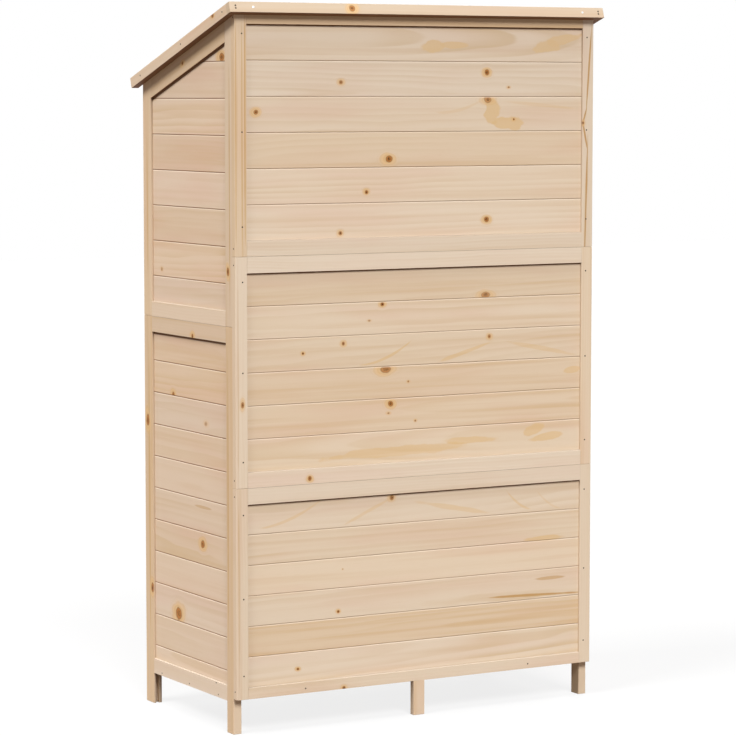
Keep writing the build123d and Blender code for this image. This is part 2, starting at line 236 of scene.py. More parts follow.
class Plank:
    # places on the boards of one node: u along the grain, v across it, w into the wood
    def __init__(self, wire, name, along, across, rows, seed, look):
        depth = along.cross(across)
        self.wire = wire
        self.name = name
        self.along = along
        self.across = across
        self.rows = rows
        self.seed = seed
        self.look = look
        self.jointed = look.get("jointed", False)
        self.place = wire.node("TexCoord", {}, {}, "Object")
        self.u = self.place.dot(along)
        self.v = self.place.dot(across)
        self.w = self.place.dot(depth) - sum(span(name, depth)) / 2
        self.slope, self.level = look.get("shear", (0.0, 0.0))
        if self.slope:
            self.v = self.v - self.u * (self.v.calc("GREATER_THAN", self.level) * self.slope)
        self.number, self.below, self.above, self.boardV = pieceOf(self.v, rows)
        drawn = wire.draw(self.number * pine["chance"] + seed, "Color")
        self.tone = wire.node("SeparateColor", {}, {"Color": drawn})
        self.turn = self.tone.other("Green")
        self.lean = self.tone.other("Blue")
        self.flat = wire.join(self.u, self.v, 0.0)

    def cloud(self, along, across, shift=0.0, detail=2.0):
        # noise with so many waves a metre along and across the grain
        return self.wire.cloud(self.u * along, self.v * across, self.seed + shift, detail)

    def onFace(self, first, height):
        # a spot in millimetres: x and z on the rear face, or y and z on a side
        rearward = span(self.name, yAxis)[1] / mm
        onSide = self.look.get("face") == "side"
        spot = Vector((0, first, height)) if onSide else Vector((first, rearward, height))
        centre = Vector((spot.dot(self.along), spot.dot(self.across))) * mm
        if self.slope and centre.y > self.level:
            centre.y -= centre.x * self.slope
        return centre

    def isBoard(self, height):
        # 1 on the board that crosses the height
        low, high, count = self.rows[0]
        own = math.floor((height * mm - low) * count / (high - low))
        slack = 0.1
        return self.number.calc("COMPARE", own, slack)


# Knots strewn over pieces that the photo doesn't show
strewnKnots = {
    "cells": (4.3, 9.0),     # a metre, along and across the grain
    "shuffle": 13.7,         # from board to board
    "size": (0.03, 0.05),    # in cells: least, and what chance adds
    "pith": 0.45,
    "rare": (0.66, 0.72),    # draws from here up make a knot
}


def strewnKnot(plank):
    along, across = strewnKnots["cells"]
    shift = plank.number * strewnKnots["shuffle"]
    cells = plank.wire.join(plank.u * along, plank.v * across + shift, 0.0)
    places = {"Vector": cells, "Scale": 1.0}
    strewn = cells.node("TexVoronoi", {"voronoi_dimensions": "2D"}, places, "Distance")
    chance = cells.node("SeparateColor", {}, {"Color": strewn.other("Color")})
    middle = cells.node("SeparateXYZ", {}, {0: strewn.other("Position")})
    offset = plank.v - (middle.other("Y") - shift) / across
    near = strewn / chance.other("Green").spread(*strewnKnots["size"])
    return near, near, offset, strewnKnots["pith"], chance.ease(*strewnKnots["rare"])


# Knots, with distances in knot radii: 1 is the knot's edge
knot = {
    "wobble": (60, 60, 0.0, 1.0),     # of the outline: waves a metre along and across, shift, detail
    "wobbles": 0.55,
    "waver": (22, 34, 13.0, 2.0),     # the same of the halo
    "wavers": 1.9,
    "crack": (230, 230, 0.0, 1.0),    # the same of cracks in the heart
    "cracks": (0.50, 0.62),           # from, to
    "cracked": 0.45,
    "drawn": 1.25,                    # the halo's length to the knot's
    "pith": (4.0, 0.85),              # share of the dark middle: over the radius in mm, and at most
    # from, to and, in most, share
    "push": (4.2, 0.2, 0.85),
    "halo": (2.7, 1.2, 0.85),
    "contour": (3.4, 1.4, 0.22),
    "ringStart": (0.30, 0.85),
    "ringStop": (1.0, 0.92),
    "core": (1.14, 0.80, 0.90),
    "rimStart": (0.66, 0.97),
    "rim": (1.26, 1.02, 0.60),
    "heart": (0.95, 0.35),
    "middle": (0.85, 0.30),
    "rings": 1.4,                     # in the halo, to each radius
}


def knotMarks(plank):
    # how far knots push the grain aside, and how strongly each of their tones shows
    wobble = (plank.cloud(*knot["wobble"]) - 0.5) * knot["wobbles"]
    waver = (plank.cloud(*knot["waver"]) - 0.5) * knot["wavers"]
    crack = plank.cloud(*knot["crack"]).ease(*knot["cracks"])
    amount, most = knot["pith"]
    found = []    # distance from the knot, the same drawn out along the grain, offset, pith, strength
    for first, height, radius, stretch, strength in plank.look.get("knots", ()):
        centre = plank.onFace(first, height)
        near = nearSpot(plank.flat, centre, (radius * stretch * mm, radius * mm))
        drawn = nearSpot(plank.flat, centre, (knot["drawn"] * radius * stretch * mm, radius * mm))
        if plank.jointed:
            strength = plank.isBoard(height) * strength
        found.append((near, drawn, plank.v - centre.y, min(most, amount / radius), strength))
    if plank.look.get("wild"):
        found.append(strewnKnot(plank))
    push = 0.0
    marks = {}
    for near, drawn, offset, pith, strength in found:
        near = near + wobble
        push = near.band(*knot["push"]) * offset * strength + push
        drawn = drawn + waver
        part = (drawn * knot["rings"]).calc("FRACT")
        lines = part.ease(*knot["ringStart"]) * part.ease(*knot["ringStop"])
        dark = crack * knot["cracked"] + near.band(*knot["middle"], pith)
        own = {
            "halo": drawn.band(*knot["halo"]),
            "contour": lines * drawn.band(*knot["contour"]),
            "core": near.band(*knot["core"]),
            "rim": near.ease(*knot["rimStart"]) * near.band(*knot["rim"]),
            "heart": near.ease(*knot["heart"]) * dark,
        }
        for shade, mark in own.items():
            shown = mark * strength
            marks[shade] = marks[shade].calc("MAXIMUM", shown) if shade in marks else shown
    return push, marks


# Growth rings of the log that a board is cut from
rings = {
    "boardYears": 13 * mm,
    "frameYears": 8 * mm,
    "slow": (1.5, 4.0, 36 * mm),     # waves a metre along and across, and how far they shift a ring
    "fine": (7.0, 45.0, 3 * mm),
    "shuffle": 5.3,                  # from board to board
    "aside": 120 * mm,               # the log's heart lies up to half of this to one side
    "behind": (12 * mm, 50 * mm),    # and behind the board's middle: least, and what chance adds
    "lean": 0.10,
    "shown": (0.3, 0.7),             # share of a ring: least, and what chance adds
    "fade": (2.2, 11, 21.0),         # along a ring: waves along and across, shift
    "faded": (0.36, 0.62),           # from, to
    "darkens": (0.15, 0.88),         # parts of a year
    "ends": (1.0, 0.90),
}


def growthRings(plank, bentV):
    # the log's heart lies behind the board's middle and leans along it
    wire, u, v, w = plank.wire, plank.u, plank.v, plank.w
    along, across, slowShift = rings["slow"]
    slow = wire.cloud(u * along, v * across, plank.number * rings["shuffle"] + plank.seed) - 0.5
    along, across, fineShift = rings["fine"]
    fine = wire.cloud(u * along, v * across, w * across + plank.seed) - 0.5
    sideways = bentV - (plank.tone - 0.5) * rings["aside"]
    inward = w + plank.turn.spread(*rings["behind"]) + u * ((plank.lean - 0.5) * rings["lean"])
    radius = (sideways * sideways + inward * inward).calc("SQRT")
    yearWidth = rings["boardYears"] if plank.jointed else rings["frameYears"]
    year = (radius + slow * slowShift + fine * fineShift) / yearWidth
    part = year.calc("FRACT")
    strong = wire.draw(year.calc("FLOOR") + plank.seed, "Value").spread(*rings["shown"])
    faded = plank.cloud(*rings["fade"]).ease(*rings["faded"]).spread(*rings["shown"])
    late = part.ease(*rings["darkens"]) * part.ease(*rings["ends"]) * strong * faded
    for height, share in plank.look.get("calm", ()):
        late = late * (1 - plank.isBoard(height) * share)
    return late


# Colours of the bare wood
tint = {
    "blush": (2.3, 14, 4.0),           # waves a metre along and across, shift
    "blushed": (0.42, 0.75, 0.6),      # from, to, share
    "streak": (1.1, 48, 7.7, 3.0),     # waves along and across, shuffle from board to board, detail
    "streaked": (0.46, 0.74),
    "streakTan": 0.34,
    "boardTan": (0.5, 0.6),            # on tan boards: all over, and in the streaks
    "boardLate": (0.30, 0.45),         # share of the late wood: least, and what chance adds
    "frameLate": (0.15, 0.25),
    "fibre": (24, 800),                # waves along and across
    "fibred": (0.56, 0.80, 0.20),
    "ragged": (16, 28, 9.0, 3.0),      # edge of a stain: waves along and across, shift, detail
    "stray": 1.6,                      # how far that edge strays
    "loose": (0.3, 20),                # share of that, at most 1: least, and the half height that adds 1
    "stainEdge": (1.10, 0.55, 0.3),    # from, to, and what a loose edge adds
    "value": (0.955, 0.060),           # least, and what chance adds
    "saturation": (0.90, 0.20),
}


def stainMarks(plank, colour):
    # sap stains and resin lines
    ragged = plank.cloud(*tint["ragged"]) - 0.5
    least, full = tint["loose"]
    outer, inner, added = tint["stainEdge"]
    for kind in ("stain", "resin"):
        for first, height, wide, high, strength, *curve in plank.look.get(kind, ()):
            loose = min(1.0, least + high / full)
            near = nearSpot(plank.flat, plank.onFace(first, height), (wide * mm, high * mm), *curve)
            near = near + ragged * (tint["stray"] * loose)
            colour = colour.paint(pine[kind], near.band(outer, inner + added * loose, strength))
    return colour


def bareColour(plank, late, streak, fibre):
    look = plank.look
    blush = plank.cloud(*tint["blush"]).band(*tint["blushed"]) + look.get("rosy", 0.0)
    colour = plank.wire.mix(blush, pine["pale"], pine["rose"])
    colour = colour.paint(pine["tan"], streak * tint["streakTan"] + look.get("warm", 0.0))
    for height, share in look.get("tans", ()):
        colour = colour.paint(pine["tan"], plank.isBoard(height) * streak.spread(*tint["boardTan"]) * share)
    lateShare = tint["boardLate"] if plank.jointed else tint["frameLate"]
    colour = colour.paint(pine["late"], late * plank.turn.spread(*lateShare))
    colour = colour.paint(pine["late"], fibre.band(*tint["fibred"]))
    colour = stainMarks(plank, colour)
    value = plank.tone.spread(*tint["value"]) * look.get("value", 1.0)
    places = {"Saturation": plank.lean.spread(*tint["saturation"]), "Value": value, "Color": colour}
    return colour.node("HueSaturation", {}, places)


# Lines along the joints of the boards, with painted shade and painted highlight: from, to, share
joint = {
    # painted highlight below each joint
    "arris": (3.4 * mm, 1.6 * mm, 0.42),
    "seam": (2.2 * mm, 0.58),    # width and share, where a wall has none of its own
    "seamCore": 0.3,             # part of the width that is darkest
    "upperSeam": (0.9 * mm, 0.1 * mm, 0.50),
    "cap": 0.95,                 # share of the painted shade below a rail
    "capCore": 0.7,
    # a duller tone painted on the foot of each panel, against the light bounced up from the rail below
    "sill": (5.0 * mm, 0.0, 0.50),
    # painted shade where the boards meet the stiles
    "end": (2.4 * mm, 0.2 * mm, 0.22),
}


def jointLines(plank, colour):
    # dark joint lines, partly painted shade, with a painted highlight along each joint; then painted shade
    # under the rail above and at the board ends, and a duller painted tone at the panel's foot
    # painted highlight along the upper edge of each board
    colour = colour.paint(pine["arris"], plank.above.band(*joint["arris"]))
    line, share = plank.look.get("seam", joint["seam"])
    # dark joint line, partly painted shade
    colour = colour.paint(pine["seam"], plank.below.band(line, joint["seamCore"] * line, share))
    colour = colour.paint(pine["seam"], plank.above.band(*joint["upperSeam"]))
    # painted shade below the rail above the boards
    for direction, level, gap in plank.look.get("caps", ()):
        room = level - plank.place.dot(direction)
        inField = room.calc("GREATER_THAN", -pine["housing"])
        shade = room.band(gap, joint["capCore"] * gap, joint["cap"])
        colour = colour.paint(pine["groove"], shade * inField)
    # a duller painted tone at the panel's foot
    for level in plank.look.get("sills", ()):
        lift = plank.place.dot(zAxis) - level
        inField = lift.calc("GREATER_THAN", -pine["housing"])
        colour = colour.paint(pine["ledge"], lift.band(*joint["sill"]) * inField)
    # painted shade at the board ends by the stiles
    if "caps" in plank.look:
        first, last = span(plank.name, plank.along)
        fromEnd = (plank.u - (first + pine["housing"])).calc("MINIMUM", (last - pine["housing"]) - plank.u)
        colour = colour.paint(pine["seam"], fromEnd.band(*joint["end"]))
    return colour


# Ends and edges, told by how far they turn from the board's face: 1 is square to it
cut = {
    "end": (0.70, 0.95),              # from, to
    "endShare": 0.75,                 # where a piece has none of its own
    "below": (-0.70, -0.95, 0.95),    # painted shade on undersides: from, to, share
    # a duller tone painted on upper edges, against the highlight there
    "above": (0.25, 0.70, 0.80),
    "edge": (0.70, 0.95),
    "edgeTone": ("sawn", 0.40),       # where a piece has none of its own
    # painted shade on the inner edges of stiles
    "inner": (0.30, 0.75),
}


def cutEdges(plank, colour):
    # end grain and sawn edges; beside a panel a rail gets painted shade on its underside and a duller
    # painted tone on its upper edge, and a stile's inner edge is painted a little darker as shade
    wire, look = plank.wire, plank.look
    settings = {"vector_type": "NORMAL", "convert_from": "WORLD", "convert_to": "OBJECT"}
    outward = wire.node("VectorTransform", settings, {0: wire.node("NewGeometry", {}, {}, "Normal")})
    cross = outward.dot(plank.along).calc("ABSOLUTE")
    colour = colour.paint(pine["sawn"], cross.band(*cut["end"], look.get("ends", cut["endShare"])))
    if plank.jointed:
        return colour
    edge = outward.dot(plank.across)
    if look.get("beside") == "panel":
        # painted shade on the underside and a duller painted tone on the upper edge
        colour = colour.paint(pine["groove"], edge.band(*cut["below"]))
        return colour.paint(pine["ledge"], edge.band(*cut["above"]))
    turned = edge.calc("ABSOLUTE")
    shade, share = look.get("edge", cut["edgeTone"])
    colour = colour.paint(pine[shade], turned.band(*cut["edge"], share))
    # painted shade on the inner edge
    if "inner" in look:
        inward = (edge * plank.v).calc("LESS_THAN", 0.0)
        colour = colour.paint(pine["flank"], turned.band(*cut["inner"], look["inner"]) * inward)
    return colour


def pineFinish(name, along, across, rows, seed, look=None):
    # look may hold face, knots, stain, resin, tans, calm, warm, rosy, value, wild, shear, jointed, seam,
    # caps, sills, ends, beside, edge and inner
    finish, wire = newFinish(f"pine_{name}")
    plank = Plank(wire, name, along, across, rows, seed, look or {})
    push, marks = knotMarks(plank)
    bentV = plank.boardV - push
    late = growthRings(plank, bentV)
    lengthwise, sideways, shuffle, detail = tint["streak"]
    streak = wire.cloud(plank.u * lengthwise, bentV * sideways, plank.number * shuffle + seed, detail)
    lengthwise, sideways = tint["fibre"]
    fibre = wire.cloud(plank.u * lengthwise, plank.v * sideways, plank.w * sideways)
    colour = bareColour(plank, late, streak.ease(*tint["streaked"]), fibre)
    for shade, mark in marks.items():
        colour = colour.paint(pine[shade], mark)
    if plank.jointed:
        colour = jointLines(plank, colour)
    colour = cutEdges(plank, colour)
    early, smoother = pine["rough"]
    grain = bump(wire, fibre * 0.5 - late * 0.5, *pine["bump"])
    closeFinish(wire, colour, early - late * smoother, grain, {"Specular IOR Level": pine["gloss"]})
    dress(name, finish)
    if not plank.jointed:
        softenEdges(name)


def middleRows(name, direction):
    # two pieces of one node, told apart at the middle
    low, high = span(name, direction)
    middle = (low + high) / 2
    reach = 10    # metres, past any piece
    return [(middle - reach, middle + reach, 2)]


def evenRows(name, direction, count, housing=0.0):
    low, high = span(name, direction)
    return [(low + housing, high - housing, count)]


def capOf(name, direction, gap):
    # the edge of the rail that the boards run into, and how wide a band of painted shade the top board gets
    # below it
    return [(direction, span(name, direction)[1] - pine["housing"], gap)]


def sillOf(name):
    # the edge of the rail below the boards
    return [span(name, zAxis)[0] + pine["housing"]]


# Rear wall, with the knots and stains that the photo shows, in millimetres
rearWall = {
    "boards": 6,
    # width of the painted shade below each top rail
    "gap": 4 * mm,
    "seed": {"stiles": 11.3, "rails": 21.7, "boards": 31.1},
    "stileEdge": ("sawn", 0.25),    # tone, share
    # share of painted shade on the stiles' inner edges
    "stileInner": 0.5,
    "boardMarks": ("seam", "knots", "stain", "resin", "tans", "calm"),
    # width and share of the dark joint lines, which are partly painted shade
    "seam": {"upper": (2.2 * mm, 0.58), "middle": (2.2 * mm, 0.48), "lower": (2.2 * mm, 0.50)},
    # x, z, radius, stretch, strength
    "knots": {
        "upper": [(225, 1616, 4.6, 1.1, 0.8), (-202, 1642, 6.8, 0.9, 1.0), (-268, 1604, 2.2, 1.3, 0.7),
                  (-205, 1573, 7.5, 1.4, 0.7), (-284, 1522, 2.6, 1.0, 1.0), (464, 1542, 5.6, 1.1, 0.9),
                  (87, 1424, 7.8, 1.2, 1.0), (152, 1342, 4.6, 1.0, 1.0), (227, 1241, 4.6, 1.0, 0.8),
                  (-202, 1267, 6.2, 1.1, 1.0)],
        "middle": [(106, 1059, 4.8, 1.1, 1.0), (144, 1019, 2.2, 1.6, 0.5), (-201, 1073, 7.0, 1.8, 0.7),
                   (219, 964, 4.6, 0.9, 0.8), (334, 944, 3.0, 1.0, 1.0), (-212, 965, 5.0, 0.9, 0.8),
                   (96, 894, 8.0, 1.7, 0.8), (30, 860, 2.4, 1.0, 0.7), (82, 806, 6.4, 1.1, 1.0),
                   (88, 782, 2.4, 1.4, 0.6), (9, 759, 2.6, 1.0, 0.7)],
        "lower": [(78, 566, 6.0, 0.9, 0.8), (221, 394, 1.6, 1.0, 0.5), (234, 287, 3.6, 1.0, 1.0),
                  (350, 151, 3.0, 1.2, 1.0)],
    },
    # x, z, half length, half height, strength, slant and, in some, bend
    "stain": {
        "upper": [(-40, 1708, 34, 17, 0.80, 0), (-105, 1711, 42, 9, 0.80, 0),
                  (-382, 1708, 40, 16, 0.75, -0.1), (-440, 1728, 52, 14, 0.75, -0.2),
                  (-217, 1543, 25, 38, 0.70, 0), (-266, 1514, 54, 19, 0.70, 0),
                  (-118, 1546, 68, 5, 0.30, -0.22, 2.0), (-372, 1558, 110, 5, 0.30, 0.09)],
        "middle": [(-345, 714, 34, 18, 0.55, -0.3), (-385, 696, 58, 10, 0.55, -0.1),
                   (60, 684, 215, 13, 0.42, -0.02), (-160, 700, 80, 10, 0.50, 0),
                   (90, 925, 82, 4, 0.50, -0.40, 2.3), (-145, 930, 82, 6, 0.45, -0.28),
                   (-373, 928, 112, 7, 0.35, 0.20), (-468, 868, 26, 9, 0.55, -0.10)],
        "lower": [(-385, 428, 60, 8, 0.60, 0), (375, 530, 92, 4.5, 0.50, -0.33, 1.6),
                  (150, 535, 75, 5, 0.45, -0.43), (-107, 528, 120, 7, 0.50, 0.20),
                  (-303, 526, 42, 4.5, 0.55, 0.72, 7.0), (-395, 522, 40, 3.5, 0.35, 0.72, 7.0)],
    },
    "resin": {"lower": [(-345, 281, 150, 4, 0.85, 0.03), (-400, 322, 48, 5, 0.60, 0)]},
    # z of a board, share
    "tans": {
        "upper": [(1440, 0.30), (1350, 0.15), (1720, 0.20)],
        "middle": [(860, 0.45), (780, 0.30), (1110, 0.20)],
        "lower": [(230, 0.55), (540, 0.15)],
    },
    "calm": {
        "upper": [(1540, 0.5), (1440, 0.5)],
        "middle": [(1110, 0.5), (950, 0.6), (690, 0.4)],
        "lower": [(390, 0.85), (540, 0.4)],
    },
    "railKnots": {"middle": [(318, 631, 6.0, 0.8, 1.0)], "lower": [(221, 91, 4.5, 1.0, 0.9)]},
    # the eaves rail's deep tan is partly painted shade under the back skirt
    "railTans": {"upper": [(1770, 1.6)], "lower": [(590, 0.15)]},
    "stileKnots": {"upper": [(-494, 1512, 3.5, 1.0, 0.8)], "middle": [(506, 824, 4.0, 1.8, 0.8)]},
    "stileResin": {
        "upper": [(497, 1500, 330, 2.6, 0.60, 0), (505, 1480, 330, 2.2, 0.45, 0),
                  (522, 1480, 330, 2.0, 0.50, 0),
                  (-511, 1645, 125, 2.8, 0.95, -0.070), (-499, 1529, 26, 2.8, 0.95, -0.29),
                  (-501, 1478, 42, 2.8, 0.95, 0.207), (-505, 1315, 155, 3.2, 0.95, -0.025)],
        "middle": [(518, 900, 300, 2.2, 0.35, 0)],
        "lower": [(518, 350, 260, 2.2, 0.35, 0)],
    },
    "stileTans": {"upper": [(500, 0.55)]},    # x of a stile, share
}

for order, level in enumerate(("lower", "middle", "upper")):
    stiles, rails, boards = (f"rear_{level}_{kind}" for kind in rearWall["seed"])
    stileSeed, railSeed, boardSeed = (seed + order for seed in rearWall["seed"].values())
    stileLook = {"knots": rearWall["stileKnots"].get(level, ()), "resin": rearWall["stileResin"][level],
                 "tans": rearWall["stileTans"].get(level, ()), "edge": rearWall["stileEdge"],
                 "inner": rearWall["stileInner"]}
    pineFinish(stiles, zAxis, xAxis, middleRows(stiles, xAxis), stileSeed, stileLook)
    # rails get painted shade on their undersides and a duller painted tone on their upper edges
    railLook = {"knots": rearWall["railKnots"].get(level, ()), "tans": rearWall["railTans"].get(level, ()),
                "beside": "panel"}
    pineFinish(rails, xAxis, zAxis, middleRows(rails, zAxis), railSeed, railLook)
    boardLook = {key: rearWall[key][level] for key in rearWall["boardMarks"] if level in rearWall[key]}
    cap = capOf(boards, zAxis, rearWall["gap"])
    boardLook.update({"jointed": True, "caps": cap, "sills": sillOf(boards)})
    rows = evenRows(boards, zAxis, rearWall["boards"], pine["housing"])
    pineFinish(boards, xAxis, zAxis, rows, boardSeed, boardLook)
print("rear wall dressed")

# Side walls, as the photo shows one of them, in millimetres
sideWall = {
    "pieces": ("rear_leg", "front_leg", "upper_stiles", "lower_rails", "upper_rails",
               "lower_boards", "upper_boards"),
    # width of the painted shade below each top rail
    "gap": 7 * mm,
    "seed": (41.9, 7, 1.37),    # first, from side to side, from piece to piece
    "railsApart": 200 * mm,     # over the lower boards; the sloped rail lies higher
    "manyBoards": 20,           # more than a wall has
    "seam": {"lower": (3.3 * mm, 0.92), "upper": (3.3 * mm, 0.80)},    # width and share of the dark joint lines, which are partly painted shade
    "firstSeam": {"lower": 35 * mm, "upper": 66.5 * mm},
    "seamStep": {"lower": 83 * mm, "upper": 91 * mm},
    # y, z, radius, stretch, strength
    "knots": {
        "lower_boards": [(-69, 257, 15.0, 1.0, 1.0), (70, 454, 9.5, 1.0, 1.0), (-94, 820, 7.0, 1.0, 1.0),
                         (90, 762, 5.0, 1.5, 0.4)],
        "upper_boards": [(187, 1677, 9.0, 1.4, 1.0), (-157, 1139, 4.5, 1.0, 0.5)],
        "lower_rails": [(28, 979, 6.0, 0.9, 1.0)],
        "upper_rails": [(-20, 1663, 4.5, 1.2, 1.0)],
        "upper_stiles": [(226, 1151, 6.0, 1.6, 1.0)],
        "front_leg": [(-234, 742, 8.0, 1.8, 1.0), (-212, 305, 8.0, 1.4, 1.0)],
    },
    # y, z, half length, half height, strength, slant
    "resin": {
        "lower_boards": [(71, 549, 55, 4, 0.5, 0)],
        "front_leg": [(-226, 560, 420, 3.0, 0.6, 0)],
        "rear_leg": [(222, 560, 420, 3.5, 0.6, 0)],
        "upper_stiles": [(236, 1350, 320, 3.5, 0.6, 0), (-229, 1300, 200, 3.0, 0.4, 0)],
    },
    # z of a board, share
    "tans": {
        "upper_boards": [(1218, 0.30)],
        "lower_boards": [(900, 0.25), (480, 0.25)],
        "lower_rails": [(995, 0.70)],
        # the sloped rail's deep tan is partly painted shade under the side skirt
        "upper_rails": [(1600, 1.5)],
    },
    "calm": {"upper_boards": [(1400, 0.5), (1310, 0.5)], "lower_boards": [(610, 0.5), (360, 0.5)]},
    "warm": {"rear_leg": 0.85, "front_leg": 0.70, "upper_stiles": 0.40, "lower_rails": 0.12,
             "upper_rails": 0.12, "lower_boards": 0.10, "upper_boards": 0.05},
    "rosy": {"lower_boards": 0.35, "upper_boards": 0.35, "lower_rails": 0.25, "upper_rails": 0.25},
    "edge": {"rear_leg": ("pale", 0.5), "front_leg": ("sawn", 0.25), "upper_stiles": ("sawn", 0.25)},
    # share of painted shade on the inner edges of the legs and stiles
    "inner": {"rear_leg": 0.8, "front_leg": 0.8, "upper_stiles": 0.8},
    "bothSides": ("warm", "rosy", "edge", "inner"),
    "shownSide": ("knots", "resin", "tans", "calm"),
}


def sideRows(name, level):
    start = span(name, zAxis)[0] + pine["housing"] + sideWall["firstSeam"][level]
    count = sideWall["manyBoards"]
    reach = count * sideWall["seamStep"][level]
    return [(start - reach, start + reach, 2 * count)]


for order, side in enumerate(("right", "left")):
    shown = side == "right"
    firstSeed, sideStep, pieceStep = sideWall["seed"]
    seed = firstSeed + sideStep * order
    overBoards = span(f"{side}_side_lower_boards", zAxis)[1] + sideWall["railsApart"]
    for piece in sideWall["pieces"]:
        name = f"{side}_side_{piece}"
        level, kind = piece.split("_")
        seed += pieceStep
        keys = sideWall["bothSides"] + (sideWall["shownSide"] if shown else ())
        look = {key: sideWall[key][piece] for key in keys if piece in sideWall[key]}
        look["face"] = "side"
        if kind == "boards":
            cap = capOf(name, zAxis if level == "lower" else offRoof, sideWall["gap"])
            look.update({"jointed": True, "wild": not shown, "caps": cap, "sills": sillOf(name),
                         "seam": sideWall["seam"][level]})
            pineFinish(name, yAxis, zAxis, sideRows(name, level), seed, look)
        elif kind == "rails":
            # painted shade on the rail undersides and a duller painted tone on their upper edges
            look["beside"] = "panel"
            if level == "upper":
                look["shear"] = (upSlope.z / upSlope.y, overBoards)    # grain of the sloped rail
            pineFinish(name, yAxis, zAxis, middleRows(name, zAxis), seed, look)
        else:
            pineFinish(name, zAxis, yAxis, middleRows(name, yAxis), seed, look)
print("side walls dressed")

# Roof, floor and the bars inside
plainBars = {
    "right_joint_cleat": (yAxis, zAxis),
    "left_joint_cleat": (yAxis, zAxis),
    "right_floor_bearer": (yAxis, zAxis),
    "left_floor_bearer": (yAxis, zAxis),
    "middle_floor_bearer": (yAxis, zAxis),
    "front_sill": (xAxis, zAxis),
    "front_lintel": (xAxis, zAxis),
    "rear_foot": (zAxis, xAxis),
    "front_foot": (zAxis, xAxis),
    "roof_batten": (upSlope, xAxis),
}
barSeed = {"first": 71.3, "step": 1.9}
for order, (name, (along, across)) in enumerate(plainBars.items()):
    seed = barSeed["first"] + barSeed["step"] * order
    pineFinish(name, along, across, evenRows(name, across, 1), seed, {"wild": True})

skirts = {
    # the back skirt is painted darker all over, to offset the stronger light on its upturned face
    "back_skirt": {"along": xAxis, "face": "rear", "warm": 0.20, "value": 0.83,
                   "knots": [(205, 1799, 8.0, 1.0, 0.9)]},
    "right_skirt": {"along": upSlope, "face": "side", "rosy": 0.30, "knots": [(189, 1777, 5.0, 1.2, 0.9)]},
    "left_skirt": {"along": upSlope, "face": "side", "rosy": 0.30, "knots": [(-120, 1676, 6.0, 1.3, 0.8)]},
}
skirtSeed = {"first": 95.2, "step": 2.3}
for order, (name, skirt) in enumerate(skirts.items()):
    # painted shade on the skirts' undersides and a duller painted tone on their tops
    look = {"beside": "panel", "ends": 0.3, **skirt}
    seed = skirtSeed["first"] + skirtSeed["step"] * order
    pineFinish(name, skirt["along"], offRoof, evenRows(name, offRoof, 1), seed, look)

decks = {"roof_boards": (upSlope, 6, 108.4), "floor_boards": (yAxis, 5, 113.8)}    # across, boards, seed
for name, (across, count, seed) in decks.items():
    pineFinish(name, xAxis, across, evenRows(name, across, count), seed, {"jointed": True, "wild": True})
print("roof, floor and bars dressed")

# Doors
doors = {
    "endRail": 46 * mm,
    "middleRail": 46 * mm,
    "boards": 8,
    # width of the painted shade below each rail over a field
    "gap": 4 * mm,
    "edge": ("sawn", 0.25),    # tone, share
    "seed": (131.5, 9),        # first, from door to door
    "seedOf": {"rails": 1.1, "stiles": 2.3, "knob": 5.7},
}
for order, side in enumerate(("left", "right")):
    firstSeed, doorStep = doors["seed"]
    seed = firstSeed + doorStep * order
    railSeed, stileSeed, knobSeed = (seed + shift for shift in doors["seedOf"].values())
    low, high = span(f"{side}_door_rails", zAxis)
    middle = (low + high) / 2
    rows = [(low + doors["endRail"], middle - doors["middleRail"] / 2, doors["boards"]),
            (middle + doors["middleRail"] / 2, high - doors["endRail"], doors["boards"])]
    reach = middle - low
    railRows = [(low - reach / 2, high + reach / 2, 3)]
    look = {"jointed": True, "wild": True, "sills": [bottom for bottom, top, count in rows],
            "caps": [(zAxis, top, doors["gap"]) for bottom, top, count in rows]}
    pineFinish(f"{side}_door_boards", xAxis, zAxis, rows, seed, look)
    pineFinish(f"{side}_door_rails", xAxis, zAxis, railRows, railSeed, {"beside": "panel"})
    for shift, kind in enumerate(("meeting_stile", "hinge_stile")):
        name = f"{side}_door_{kind}"
        look = {"wild": True, "edge": doors["edge"]}
        pineFinish(name, zAxis, xAxis, evenRows(name, xAxis, 1), stileSeed + shift, look)
    name = f"{side}_door_knob"
    pineFinish(name, yAxis, zAxis, evenRows(name, zAxis, 1), knobSeed)
print("doors dressed")

# Steel
steel = {
    "zinc": {"dark": (0.30, 0.30, 0.30), "light": (0.52, 0.52, 0.51), "rough": 0.38},
    "nail": {"dark": (0.025, 0.018, 0.013), "light": (0.075, 0.056, 0.042), "rough": 0.60},
    "bright": {"dark": (0.70, 0.70, 0.69), "light": (0.90, 0.90, 0.89), "rough": 0.30},
    "spots": (130.0, 4.0),       # scale, detail
    "spangle": 420.0,            # scale
    "uneven": 0.22,              # spread of the roughness
    "bump": (0.15, 0.2 * mm),    # strength, height
    "zincPieces": ("_hinge_frame", "_hinge_door", "_hinge_pins", "bolt_"),
}


def steelFinish(name, look):
    finish, wire = newFinish(name)
    place = wire.node("TexCoord", {}, {}, "Object")
    spots = place.speckle(*steel["spots"])
    spangle = wire.node("TexVoronoi", {}, {"Vector": place, "Scale": steel["spangle"]}, "Color")
    grey = wire.node("SeparateColor", {}, {"Color": spangle})
    colour = wire.mix(grey * 0.5 + spots * 0.5, look["dark"], look["light"])
    rough = spots * steel["uneven"] + (look["rough"] - steel["uneven"] / 2)
    closeFinish(wire, colour, rough, bump(wire, spots, *steel["bump"]), {"Metallic": 1.0})
    return finish


zinc = steelFinish("zinc_plate", steel["zinc"])
darkNail = steelFinish("nail_steel", steel["nail"])
brightScrew = steelFinish("bright_screw", steel["bright"])
for name in nodes:
    if any(part in name for part in steel["zincPieces"]):
        dress(name, zinc)

